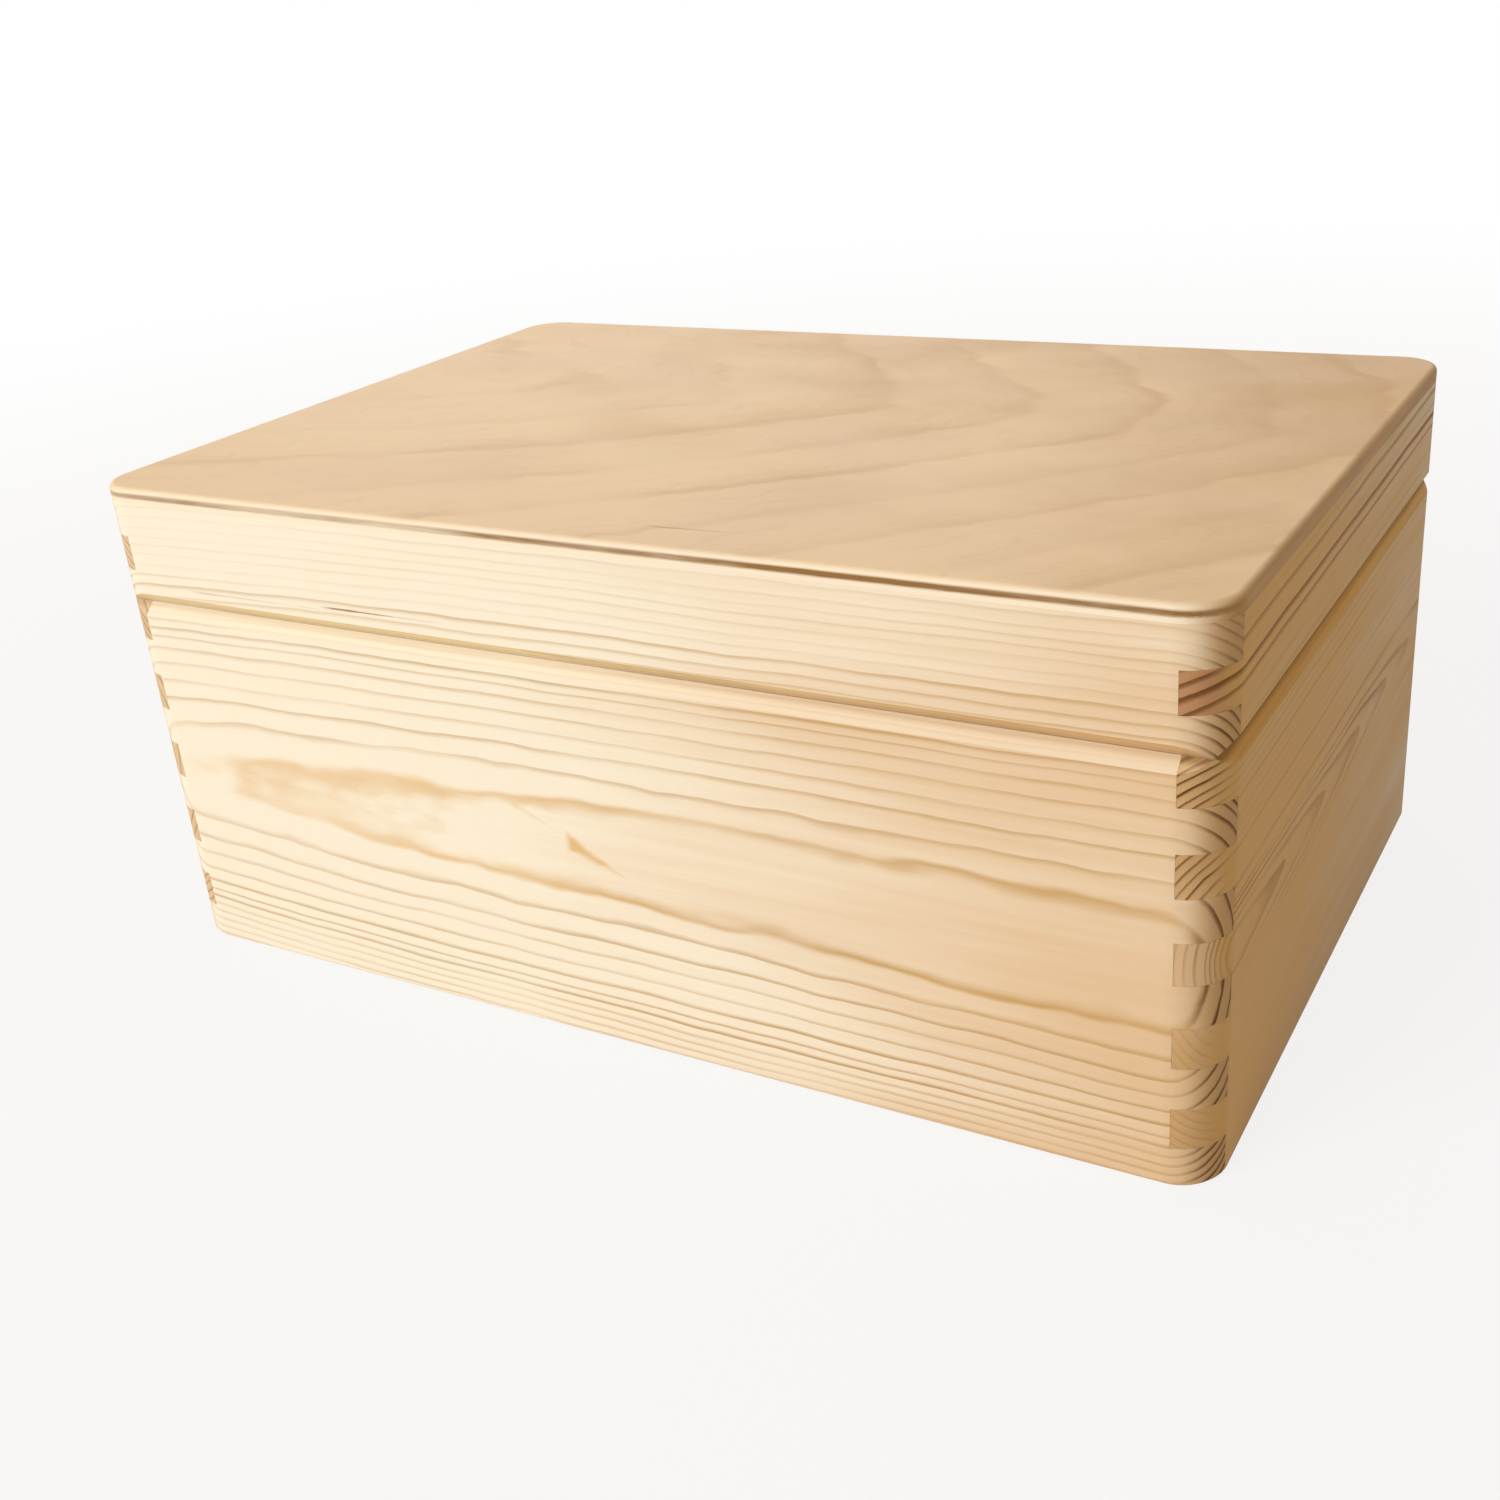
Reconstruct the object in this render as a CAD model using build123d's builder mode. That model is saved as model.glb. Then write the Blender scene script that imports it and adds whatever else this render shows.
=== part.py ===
from build123d import *
import os

# A hinged keepsake box. Pine boards meet in finger joints at rounded corners, a plywood top is glued on
# the lid's rails, a plywood bottom sits in a groove, and two small butt hinges are let into the parting
# line at the back. Millimetres, +Z up. The origin is the middle of the footprint, on the surface that the
# box stands on. The front is at -Y and the hinges are at +Y.

# Outside of the closed box
box_width = 300.0
box_depth = 200.0
corner_radius = 11.0  # plan radius of the four upright corners
body_height = 101.8
parting_gap = 0.2  # saw line left between the body and the lid
rail_height = 28.0  # lid boards, below the plywood
top_thickness = 4.0
top_roundover = 1.6  # upper edge of the plywood
eased_edge = 0.8  # small bevel on the lower outside edge of the body

# Boards and their finger joints
board_thickness = 9.5
body_fingers = 10  # equal levels in the height of the body
rail_fingers = 3  # equal levels in the height of the lid's rails
glue_line = 0.05

# V-groove along the parting line, half of it on the body and half on the lid
groove_depth = 3.0

# Bottom panel, loose in a groove
bottom_thickness = 3.0
bottom_lift = 5.0  # underside of the panel above the surface that the box stands on
bottom_groove_depth = 4.0
panel_clearance = 0.15

# Butt hinges
hinge_inset = 55.0  # middle of each hinge from the end of the box
hinge_length = 25.0
leaf_thickness = 0.8
leaf_shoulder = 0.8  # wood left between a leaf and the inner face of its board
leaf_clearance = 0.1
knuckle_radius = 1.5
knuckle_gap = 0.2
pivot_offset = 0.5  # pivot behind the bottom of the V-groove
pocket_clearance = 0.3  # wood around the barrel
pin_radius = 0.8
pin_end = 0.3  # bevelled end of the pin that shows at each side of the barrel
drive_clearance = 0.02  # pin in the body leaf, where it is driven in
running_clearance = 0.05  # pin in the lid leaf, which turns on it

# Countersunk hinge screws
screw_length = 8.0
screw_radius = 0.65
screw_head_radius = 1.25
screw_tip = 1.2  # length of the pointed end
screw_inset = 5.0  # from the end of the leaf
screw_clearance = 0.03
countersink_angle = 90

# Places that follow from these sizes
parting_z = body_height + parting_gap / 2
rail_z = body_height + parting_gap
top_z = rail_z + rail_height
inner_width = box_width - 2 * board_thickness
inner_depth = box_depth - 2 * board_thickness
pivot_y = box_depth / 2 - groove_depth + pivot_offset
leaf_reach = board_thickness - groove_depth + pivot_offset - leaf_shoulder
barrel_room = knuckle_radius + knuckle_gap
knuckle_length = (hinge_length - 2 * knuckle_gap) / 3
knuckle_pitch = knuckle_length + knuckle_gap
screw_x = hinge_length / 2 - screw_inset
screw_y = -(barrel_room + leaf_reach) / 2

# The outer face of each board, its length, and whether it keeps the even finger levels from the bottom up
walls = {
    "front": (Plane.front.offset(box_depth / 2), box_width, True),
    "back": (Plane.back.offset(box_depth / 2), box_width, True),
    "left": (Plane.left.offset(box_width / 2), box_depth, False),
    "right": (Plane.right.offset(box_width / 2), box_depth, False),
}
hinge_places = {
    "left": hinge_inset - box_width / 2,
    "right": box_width / 2 - hinge_inset,
}
faces_up = 1  # the body's edge at the parting line
faces_down = -1  # the lid's edge

pieces = {}


def finger_board(wall, block, bottom, height, fingers, recesses=()):
    """One board: its outline with finger sockets, trimmed to the machined outside of the glued-up block."""
    face, length, keeps_even = walls[wall]
    pitch = height / fingers
    socket_depth = board_thickness + glue_line
    socket_slack = 0 if keeps_even else 2 * glue_line
    first_socket = 1 if keeps_even else 0
    sockets = [
        (end * (length - socket_depth) / 2, bottom + (level + 0.5) * pitch)
        for end in (-1, 1)
        for level in range(first_socket, fingers, 2)
    ]
    with BuildPart() as board:
        with BuildSketch(face):
            with Locations((0, bottom + height / 2)):
                Rectangle(length, height)
            with Locations(*sockets):
                Rectangle(socket_depth, pitch + socket_slack, mode=Mode.SUBTRACT)
        extrude(amount=-board_thickness)
        add(block, mode=Mode.INTERSECT)
        for recess in recesses:
            add(recess, mode=Mode.SUBTRACT)
    return board.part


def hinge_seat(x, facing):
    """The plane of a hinge's pivot, with its Z out of the edge that the leaf lies in and its Y to the back."""
    return Plane((x, pivot_y, parting_z), x_dir=(facing, 0, 0), z_dir=(0, 0, facing))


def screw_locations(seat):
    """Where the two screw heads of a leaf lie flush with its face."""
    return [seat.location * Location((x, screw_y, -parting_gap / 2)) for x in (-screw_x, screw_x)]


def hinge_leaf(seat, knuckle_places, bore_clearance):
    """A brass leaf with its rolled knuckles and countersunk holes."""
    section = Plane(seat.origin, x_dir=seat.y_dir, z_dir=seat.x_dir)
    plate_width = leaf_reach - barrel_room
    with BuildPart() as leaf:
        with BuildSketch(seat.offset(-parting_gap / 2)):
            with Locations((0, screw_y)):
                Rectangle(hinge_length, plate_width)
        extrude(amount=-leaf_thickness)
        for place in knuckle_places:
            with BuildSketch(section.offset(place * knuckle_pitch)):
                Circle(knuckle_radius)
                with Locations((-barrel_room / 2, -(parting_gap + leaf_thickness) / 2)):
                    Rectangle(barrel_room, leaf_thickness)
                Circle(pin_radius + bore_clearance, mode=Mode.SUBTRACT)
            extrude(amount=knuckle_length / 2, both=True)
        with Locations(*screw_locations(seat)):
            CounterSinkHole(
                radius=screw_radius + screw_clearance,
                counter_sink_radius=screw_head_radius + screw_clearance,
                depth=leaf_thickness,
                counter_sink_angle=countersink_angle,
            )
    return leaf.part


def hinge_recess(seat):
    """What is cut from a board's edge for one leaf: its mortise, the barrel's pocket and the screw holes."""
    barrel_axis = Plane(seat.origin, x_dir=seat.y_dir, z_dir=seat.x_dir)
    with BuildPart() as recess:
        with BuildSketch(seat):
            with Locations((0, -(leaf_reach + leaf_clearance) / 2)):
                Rectangle(hinge_length + 2 * leaf_clearance, leaf_reach + leaf_clearance)
        extrude(amount=-(parting_gap / 2 + leaf_thickness))
        with BuildSketch(barrel_axis):
            Circle(knuckle_radius + pocket_clearance)
        extrude(amount=hinge_length / 2 + pin_end + pocket_clearance, both=True)
        with Locations(*screw_locations(seat)):
            Cylinder(
                screw_radius + screw_clearance,
                screw_length + screw_clearance,
                align=(Align.CENTER, Align.CENTER, Align.MAX),
            )
    return recess.part


# Cutter for the V-groove: a square bar on its corner along each of the four sides
groove_side = (groove_depth + parting_gap / 2) * 2**0.5
with BuildPart() as parting_groove:
    with BuildSketch(Plane.YZ):
        with Locations((-box_depth / 2, parting_z), (box_depth / 2, parting_z)):
            Rectangle(groove_side, groove_side, rotation=45)
    extrude(amount=box_width, both=True)
    with BuildSketch(Plane.XZ):
        with Locations((-box_width / 2, parting_z), (box_width / 2, parting_z)):
            Rectangle(groove_side, groove_side, rotation=45)
    extrude(amount=box_depth, both=True)

# The body as one glued-up block: rounded corners, eased foot, half V-groove and the slot for the bottom
with BuildPart() as body_block:
    with BuildSketch():
        RectangleRounded(box_width, box_depth, corner_radius)
    extrude(amount=body_height)
    chamfer(body_block.edges().group_by(Axis.Z)[0], eased_edge)
    add(parting_groove.part, mode=Mode.SUBTRACT)
    with BuildSketch(Plane.XY.offset(bottom_lift)):
        Rectangle(inner_width + 2 * bottom_groove_depth, inner_depth + 2 * bottom_groove_depth)
    extrude(amount=bottom_thickness + panel_clearance, mode=Mode.SUBTRACT)

# The lid's rails as one glued-up block
with BuildPart() as rail_block:
    with BuildSketch(Plane.XY.offset(rail_z)):
        RectangleRounded(box_width, box_depth, corner_radius)
    extrude(amount=rail_height)
    add(parting_groove.part, mode=Mode.SUBTRACT)

# Boards of the body and rails of the lid
body_recesses = [hinge_recess(hinge_seat(x, faces_up)) for x in hinge_places.values()]
rail_recesses = [hinge_recess(hinge_seat(x, faces_down)) for x in hinge_places.values()]
for wall in walls:
    at_hinges = wall == "back"
    pieces[f"body_{wall}_board"] = finger_board(
        wall, body_block.part, 0, body_height, body_fingers, body_recesses if at_hinges else ()
    )
    pieces[f"lid_{wall}_rail"] = finger_board(
        wall, rail_block.part, rail_z, rail_height, rail_fingers, rail_recesses if at_hinges else ()
    )

# Bottom panel, resting on the lower side of its groove
panel_reach = 2 * (bottom_groove_depth - panel_clearance)
with BuildPart() as bottom_panel:
    with BuildSketch(Plane.XY.offset(bottom_lift)):
        Rectangle(inner_width + panel_reach, inner_depth + panel_reach)
    extrude(amount=bottom_thickness)
pieces["bottom_panel"] = bottom_panel.part

# Plywood top, flush with the rails all round
with BuildPart() as lid_top_panel:
    with BuildSketch(Plane.XY.offset(top_z)):
        RectangleRounded(box_width, box_depth, corner_radius)
    extrude(amount=top_thickness)
    fillet(lid_top_panel.edges().group_by(Axis.Z)[-1], top_roundover)
pieces["lid_top_panel"] = lid_top_panel.part

# Hinges: the body leaf holds the outer knuckles and the driven pin, the lid leaf turns between them
for side, x in hinge_places.items():
    pieces[f"{side}_hinge_body_leaf"] = hinge_leaf(hinge_seat(x, faces_up), (-1, 1), drive_clearance)
    pieces[f"{side}_hinge_lid_leaf"] = hinge_leaf(hinge_seat(x, faces_down), (0,), running_clearance)
    with BuildPart() as hinge_pin:
        with BuildSketch(Plane((x, pivot_y, parting_z), x_dir=(0, 1, 0), z_dir=(1, 0, 0))):
            Circle(pin_radius)
        extrude(amount=hinge_length / 2 + pin_end, both=True)
        chamfer(hinge_pin.edges().filter_by(GeomType.CIRCLE), pin_end)
    pieces[f"{side}_hinge_pin"] = hinge_pin.part

# One countersunk screw, head face at the origin, and the two sets that hold the leaves
head_depth = screw_head_radius - screw_radius
with BuildPart() as screw:
    with BuildSketch(Plane.XZ):
        with BuildLine():
            Polyline(
                (0, 0),
                (screw_head_radius, 0),
                (screw_radius, -head_depth),
                (screw_radius, screw_tip - screw_length),
                (0, -screw_length),
                close=True,
            )
        make_face()
    revolve(axis=Axis.Z)
for name, facing in (("hinge_screws_body", faces_up), ("hinge_screws_lid", faces_down)):
    with BuildPart() as screw_set:
        for x in hinge_places.values():
            with Locations(*screw_locations(hinge_seat(x, facing))):
                add(screw.part)
    pieces[name] = screw_set.part

os.makedirs("parts", exist_ok=True)
for name, piece in pieces.items():
    piece.label = name
    export_step(piece, f"parts/{name}.step")
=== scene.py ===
import math
from dataclasses import dataclass

import bmesh
import bpy
from bpy.props import FloatProperty, FloatVectorProperty, PointerProperty
from mathutils import Matrix, Vector


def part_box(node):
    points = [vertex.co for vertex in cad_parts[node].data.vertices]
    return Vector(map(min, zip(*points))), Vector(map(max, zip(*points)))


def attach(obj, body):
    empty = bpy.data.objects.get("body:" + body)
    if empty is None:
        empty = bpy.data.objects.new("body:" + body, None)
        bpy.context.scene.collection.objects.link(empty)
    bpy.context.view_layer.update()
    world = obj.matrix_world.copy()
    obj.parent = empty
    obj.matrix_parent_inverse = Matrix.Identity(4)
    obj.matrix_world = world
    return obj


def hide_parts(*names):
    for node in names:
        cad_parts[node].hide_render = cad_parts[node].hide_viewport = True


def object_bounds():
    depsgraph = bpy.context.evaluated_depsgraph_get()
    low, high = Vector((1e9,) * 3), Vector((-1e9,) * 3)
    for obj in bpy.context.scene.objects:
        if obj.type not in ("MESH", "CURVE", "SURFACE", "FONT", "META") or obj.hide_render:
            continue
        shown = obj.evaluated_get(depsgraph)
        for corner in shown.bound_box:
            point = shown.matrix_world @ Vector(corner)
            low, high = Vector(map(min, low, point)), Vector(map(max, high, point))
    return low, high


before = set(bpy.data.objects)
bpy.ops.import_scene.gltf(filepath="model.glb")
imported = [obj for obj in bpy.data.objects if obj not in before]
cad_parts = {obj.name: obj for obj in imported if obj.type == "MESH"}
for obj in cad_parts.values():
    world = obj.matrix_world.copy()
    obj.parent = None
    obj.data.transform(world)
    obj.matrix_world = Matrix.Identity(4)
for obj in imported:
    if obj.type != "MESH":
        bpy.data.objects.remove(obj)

# A pine keepsake box with a hinged lid. The boards, panels and hinges are the CAD solids in finishes of
# their own, and slotted, threaded screws stand for the plain ones. Metres, +Z up, the front at -Y.

bl_info = {
    "name": "Hinged Pine Box",
    "version": (1, 0, 0),
    "blender": (4, 5, 0),
    "location": "View3D > Sidebar > Pine Box",
    "description": "Finishes a finger-jointed pine box with a hinged lid and sets it on a pale floor",
    "category": "Object",
}

MM = 0.001
cad_low, cad_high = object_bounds()
HALF_WIDTH_MM = (cad_high[0] - cad_low[0]) / 2 / MM
HALF_DEPTH_MM = (cad_high[1] - cad_low[1]) / 2 / MM


def srgb(red, green, blue):
    """A colour as it is seen on a screen, 0 to 255, as linear values with full alpha."""
    def linear(level):
        level /= 255
        return level / 12.92 if level <= 0.04045 else ((level + 0.055) / 1.055) ** 2.4

    return (linear(red), linear(green), linear(blue), 1.0)


# Settings that a user would change


def colour_setting(name, description, default):
    """A colour with its alpha."""
    return FloatVectorProperty(
        name=name, description=description, default=default, subtype="COLOR", size=4, min=0.0, max=1.0
    )


def share_setting(name, description, default):
    """A number from 0 to 1."""
    return FloatProperty(
        name=name, description=description, default=default, subtype="FACTOR", min=0.0, max=1.0
    )


def length_setting(name, description, default):
    """A length in metres."""
    return FloatProperty(name=name, description=description, default=default, unit="LENGTH", precision=5)


class PineSettings(bpy.types.PropertyGroup):
    """Colours of the bare, sanded pine, and of the light and shade painted into its V-groove."""

    early_wood: colour_setting(
        "Early wood", "Pale wood between the growth lines", srgb(252, 243, 224)
    )
    warm_wood: colour_setting(
        "Warm wood", "Deeper tone that the pale wood drifts to", srgb(231, 200, 163)
    )
    # Deep wood and deep late wood make up most of the right wall's colour, which is partly the heartwood's
    # own and partly painted shade of that side, turned away from the key lamp.
    deep_wood: colour_setting(
        "Deep wood", "Deepest tone, where a board is mostly heartwood", srgb(234, 183, 98)
    )
    late_wood: colour_setting(
        "Late wood", "Growth lines on the face of a board", srgb(202, 165, 110)
    )
    deep_late_wood: colour_setting(
        "Deep late wood", "Growth lines on a board that is mostly heartwood", srgb(150, 95, 34)
    )
    end_grain: colour_setting(
        "End grain", "Wood between the growth lines on the end of a board", srgb(213, 174, 125)
    )
    end_lines: colour_setting(
        "End-grain lines", "Growth lines on the end of a board", srgb(112, 70, 30)
    )
    resin: colour_setting("Resin", "Resin flecks and the line next to the heart", srgb(228, 184, 112))
    red_heart: colour_setting("Red heart", "End grain of a rail cut close to the heart", srgb(190, 138, 102))
    # Painted shade: multiplied into the V-groove, mostly into the lid's half, which faces down.
    shaded: colour_setting("Routed", "Tint of the routed V-groove", (1.0, 0.87, 0.60, 1.0))
    # Painted light: the body's half of the groove, which faces up, is painted towards this colour on
    # heartwood walls and towards the early wood elsewhere.
    lit_heart: colour_setting("Fresh heart", "Body's half of the groove in heartwood", srgb(255, 208, 120))
    roughness: share_setting("Roughness", "Roughness of the sanded face", 0.58)


class PlywoodSettings(bpy.types.PropertyGroup):
    """Colours of the birch plywood."""

    veneer: colour_setting("Veneer", "Plain birch veneer", srgb(242, 212, 172))
    veneer_deep: colour_setting("Deep veneer", "Darker side of a growth band", srgb(208, 172, 127))
    veneer_blush: colour_setting("Veneer blush", "Pink cast of parts of the veneer", srgb(232, 201, 171))
    veneer_line: colour_setting("Veneer line", "Growth line of the peeled veneer", srgb(194, 150, 92))
    # Partly the pale long grain of the face plies and partly a painted highlight on the round-over of the
    # panel's front and back edges.
    ply_side: colour_setting("Ply side", "Face plies at the panel's edge", srgb(253, 240, 218))
    ply_back: colour_setting(
        "Ply back", "Wood between the plies' ends at the panel's edge", srgb(238, 186, 120)
    )
    ply_end: colour_setting("Ply end", "End grain of a ply at the panel's edge", srgb(152, 114, 69))
    roughness: share_setting("Roughness", "Roughness of the sanded veneer", 0.5)


class HingeSettings(bpy.types.PropertyGroup):
    """Finish of the hinges and shape of their screws."""

    brass: colour_setting("Brass", "Plating of the leaves and pins", srgb(222, 192, 128))
    screw_brass: colour_setting("Screw brass", "Plating of the screws", srgb(226, 196, 124))
    roughness: share_setting("Roughness", "Roughness of the plating", 0.3)
    slot_width: length_setting("Slot width", "Width of the slot in a screw's head", 0.45 * MM)
    slot_depth: length_setting("Slot depth", "Depth of the slot in a screw's head", 0.35 * MM)
    thread_pitch: length_setting("Thread pitch", "Rise of the screw's thread in a turn", 0.6 * MM)
    thread_depth: length_setting("Thread depth", "Height of the screw's thread", 0.17 * MM)
    screw_inset: length_setting("Screw inset", "From the end of a leaf to the middle of its screw", 5 * MM)


class StageSettings(bpy.types.PropertyGroup):
    """Floor, light and camera."""

    floor_colour: colour_setting("Floor", "Colour of the floor", (0.74, 0.68, 0.59, 1.0))
    floor_whiteness: share_setting(
        "Floor whiteness", "How far the floor is lifted to white beside the box", 0.84
    )
    key_power: FloatProperty(
        name="Key", description="Power of the soft light at the front left", default=79.5, unit="POWER"
    )
    overhead_power: FloatProperty(
        name="Overhead", description="Power of the soft light above the back", default=3.0, unit="POWER"
    )
    fill_power: FloatProperty(
        name="Fill", description="Power of the soft light at the back left", default=14.0, unit="POWER"
    )
    sky_colour: colour_setting("Sky", "Colour of the even light around", (1.0, 0.85, 0.63, 1.0))
    sky_strength: FloatProperty(
        name="Sky strength", description="Strength of the even light around", default=0.31
    )
    camera_place: FloatVectorProperty(
        name="Camera place",
        description="Where the camera stands",
        default=(0.23365, -0.39982, 0.25239),
        subtype="TRANSLATION",
        unit="LENGTH",
    )
    camera_turn: FloatVectorProperty(
        name="Camera turn",
        description="How the camera is turned",
        default=(math.radians(65.043), math.radians(4.180), math.radians(28.731)),
        subtype="EULER",
    )
    camera_lens: FloatProperty(
        name="Lens", description="Focal length on a 36 mm sensor", default=42.617, unit="CAMERA"
    )
    camera_shift: FloatProperty(
        name="Shift", description="Sideways shift of the lens, in frame widths", default=-0.03
    )


# Shader nodes


def calculate(operation, *values):
    """A Math node on sockets and numbers."""
    finish = next(value.finish for value in values if isinstance(value, Field))
    return finish.node("ShaderNodeMath", {"operation": operation}, dict(enumerate(values)))


class Field:
    """A shader socket that takes part in Python arithmetic, which adds Math nodes."""

    def __init__(self, finish, socket):
        self.finish = finish
        self.socket = socket

    def __add__(self, other):
        return calculate("ADD", self, other)

    def __radd__(self, other):
        return calculate("ADD", other, self)

    def __sub__(self, other):
        return calculate("SUBTRACT", self, other)

    def __rsub__(self, other):
        return calculate("SUBTRACT", other, self)

    def __mul__(self, other):
        return calculate("MULTIPLY", self, other)

    def __rmul__(self, other):
        return calculate("MULTIPLY", other, self)

    def __truediv__(self, other):
        return calculate("DIVIDE", self, other)

    def __rtruediv__(self, other):
        return calculate("DIVIDE", other, self)

    def __pow__(self, other):
        return calculate("POWER", self, other)

    def __abs__(self):
        return calculate("ABSOLUTE", self)


class Finish:
    """A material, or the world, as a node tree that is built node by node."""

    def __init__(self, owner):
        owner.use_nodes = True
        self.owner = owner
        self.tree = owner.node_tree
        self.tree.nodes.clear()

    def node(self, kind, settings=None, sockets=None, output=0):
        """Adds a node, sets it up, fills or links its sockets, and returns one of its outputs."""
        added = self.tree.nodes.new(kind)
        for name, value in (settings or {}).items():
            setattr(added, name, value)
        for name, value in (sockets or {}).items():
            if isinstance(value, Field):
                self.tree.links.new(value.socket, added.inputs[name])
            else:
                added.inputs[name].default_value = value
        return Field(self, added.outputs[output]) if added.outputs else added

    def mix(self, share, first, second, way="MIX"):
        """Colours mixed by a share from 0 to 1."""
        settings = {"data_type": "RGBA", "blend_type": way}
        return self.node("ShaderNodeMix", settings, {0: share, 6: first, 7: second}, output=2)

    def ramp(self, value, start, end, low=0.0, high=1.0):
        """A smooth step from low at start to high at end."""
        sockets = {0: value, 1: start, 2: end, 3: low, 4: high}
        return self.node("ShaderNodeMapRange", {"interpolation_type": "SMOOTHSTEP"}, sockets)

    def place(self, turn=0.0, offset=(0, 0, 0)):
        """The point on the piece in millimetres, turned about Z and then shifted."""
        point = self.node("ShaderNodeTexCoord", output="Object")
        sockets = {
            "Vector": point,
            "Scale": (1 / MM, 1 / MM, 1 / MM),
            "Rotation": (0, 0, math.radians(turn)),
            "Location": offset,
        }
        return self.node("ShaderNodeMapping", {"vector_type": "POINT"}, sockets)

    def facing(self, axis):
        """How squarely the surface faces along one axis of the piece, 0 to 1."""
        normal = self.node("ShaderNodeTexCoord", output="Normal")
        return abs(self.node("ShaderNodeSeparateXYZ", None, {0: normal}, output=axis))

    def parts_of(self, vector):
        """The three parts of a vector."""
        return [self.node("ShaderNodeSeparateXYZ", None, {0: vector}, output=axis) for axis in "XYZ"]

    def noise(self, place, grain, seed=0.0, detail=2.0, roughness=0.5):
        """Soft noise about zero, with patches as long as grain says along X, Y and Z, in millimetres."""
        sockets = {
            "Vector": place,
            "Scale": tuple(1 / length for length in grain),
            "Location": (seed * 17.3, seed * 5.9, seed * 11.1),
        }
        moved = self.node("ShaderNodeMapping", {"vector_type": "POINT"}, sockets)
        sockets = {"Vector": moved, "Scale": 1.0, "Detail": detail, "Roughness": roughness}
        return self.node("ShaderNodeTexNoise", {"noise_dimensions": "3D"}, sockets) - 0.5

    def chance(self, number):
        """A value from 0 to 1 that jumps from one number to the next."""
        return self.node("ShaderNodeTexWhiteNoise", {"noise_dimensions": "1D"}, {"W": number})

    def surface(self, shader):
        """Ends the tree with this shader."""
        output = "World" if isinstance(self.owner, bpy.types.World) else "Material"
        self.node(f"ShaderNodeOutput{output}", None, {"Surface": shader})
        return self.owner


# Pine


@dataclass(frozen=True)
class Fleck:
    """A short fleck on a face, blunt at its left end and drawn out to a point, in millimetres."""

    along: float  # left end
    height: float  # at the left end
    length: float
    half_width: float
    tilt: float  # rise over run
    strength: float


@dataclass(frozen=True)
class Growth:
    """How the boards of a wall were sawn from their trunk, in millimetres on the outer face."""

    turn: float  # about Z, brings the outer face to the front
    reach: float  # from the middle of the box to the outer face
    pith_out: float  # the pith's distance from the outer face at the middle of the board
    pith_height: float
    lid_pith_out: float  # how much further the pith of the lid's rail is
    lean: float  # how fast the pith draws away along the board
    rise: float  # how fast the pith climbs along the board
    swell: float  # how much further the pith is at the left end, where the trunk swells
    heart_width: float  # width of the rings inside the first line
    first_ring: float  # distance from the pith of the first late-wood line
    ring_width: float
    outer_from: float  # distance from the pith at which the rings take their outer width
    outer_width: float
    line_width: float
    lid_line_width: float
    heart_line: float  # width of the first line and of those inside it, as a share of line_width
    first_breadth: float  # how much broader the first line gets where it is cut flat at the left, as a share
    wave: float  # how far the lines wander
    heart_boldness: float  # 1 brings the first line and those inside it up to full strength
    boldness: float  # strength of the lines on the face of the body
    lid_boldness: float  # strength of the lines on the face of the lid
    boldness_drift: float  # change of that strength over 100 mm along the board
    foot_boldness: float  # share of that strength at the foot of the board
    bands: tuple  # of stronger lines, each as its middle height, its reach up and down, and what it adds
    end_boldness: float  # how far the ends of the boards depart from the faces
    red_heart: float  # share of red heartwood on the ends of the lid's rail
    pale_heart: float  # how much paler the ends are next to the pith, as a share
    evenness: float  # how alike the lines are in strength, 0 to 1
    warmth: float  # share of the warm tone at the middle of the board
    warmth_drift: float  # change of that share over 100 mm along the board
    lid_paleness: float  # how much less of the warm tone the lid's rail has
    depth_of_tone: float  # share of the deepest tone between the lines
    line_depth: float  # share of the deepest tone in the lines
    flecks: tuple  # of resin
    streaks: tuple  # of dark late wood
    seed: float


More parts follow.
